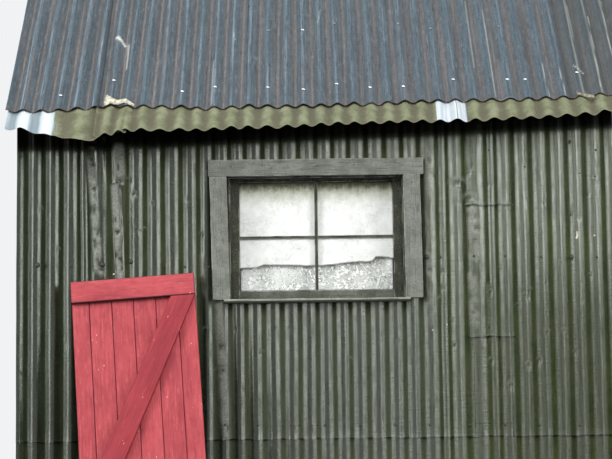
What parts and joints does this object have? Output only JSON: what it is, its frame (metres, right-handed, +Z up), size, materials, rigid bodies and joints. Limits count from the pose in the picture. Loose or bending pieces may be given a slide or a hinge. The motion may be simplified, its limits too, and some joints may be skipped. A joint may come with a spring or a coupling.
{
  "type": "corrugated iron cottage",
  "caption": "Small gabled cottage clad in dark corrugated iron, with a boarded window, a mossy eaves strip and an old red plank door leaf leaning on its front.",
  "frame": {"origin": "middle of the underside of the front wall, on the ground", "axes": "+Z up, the windowed front faces -Y, +X to the right as seen from the front"},
  "size_m": [2.667, 2.9199, 3.4371],
  "materials": {
    "wall_iron": "worn semi-gloss dark green paint, dented, with rusty edges",
    "roof_iron": "weathered dark grey, streaked brown",
    "strip_iron": "old galvanised iron under olive moss, two bare patches",
    "frame_timber": "rough sawn",
    "lining": "board lining",
    "grey_boards": "old flaking grey paint on boards",
    "glass": "clear, dusty",
    "paper": "yellowed paper, torn along its foot",
    "lace": "grey net",
    "door_paint": "dark paint on planks",
    "red_paint": "faded red paint, chipped"
  },
  "bodies": {
    "root": {"door_head": "door_paint", "door_leaf": "door_paint", "door_posts": "door_paint", "door_threshold": "door_paint", "eaves_sheets_front": "strip_iron", "front_sheet_over_window": "wall_iron", "front_sheet_under_window": "wall_iron", "front_sheets_left": "wall_iron", "front_sheets_lower": "wall_iron", "front_sheets_right": "wall_iron", "front_wall_left": "lining", "front_wall_over_window": "lining", "front_wall_right": "lining", "front_wall_under_window": "lining", "lace_curtain": "lace", "leaning_door_brace": "red_paint", "leaning_door_ledges": "red_paint", "leaning_door_planks": "red_paint", "left_sheets": "wall_iron", "left_wall": "lining", "purlins_front": "frame_timber", "purlins_rear": "frame_timber", "rafters_front": "frame_timber", "rafters_rear": "frame_timber", "rear_sheets": "wall_iron", "rear_wall": "lining", "ridge_board": "frame_timber", "ridge_cap": "roof_iron", "right_sheet_over_door": "wall_iron", "right_sheets_front": "wall_iron", "right_sheets_rear": "wall_iron", "right_wall_front": "lining", "right_wall_over_door": "lining", "right_wall_rear": "lining", "roof_sheets_front": "roof_iron", "roof_sheets_rear": "roof_iron", "sash_rails": "grey_boards", "sash_stiles": "grey_boards", "window_glass": "glass", "window_head_board": "grey_boards", "window_head_lining": "grey_boards", "window_jambs": "grey_boards", "window_paper": "paper", "window_side_boards": "grey_boards", "window_sill": "grey_boards"}
  },
  "joints": []
}
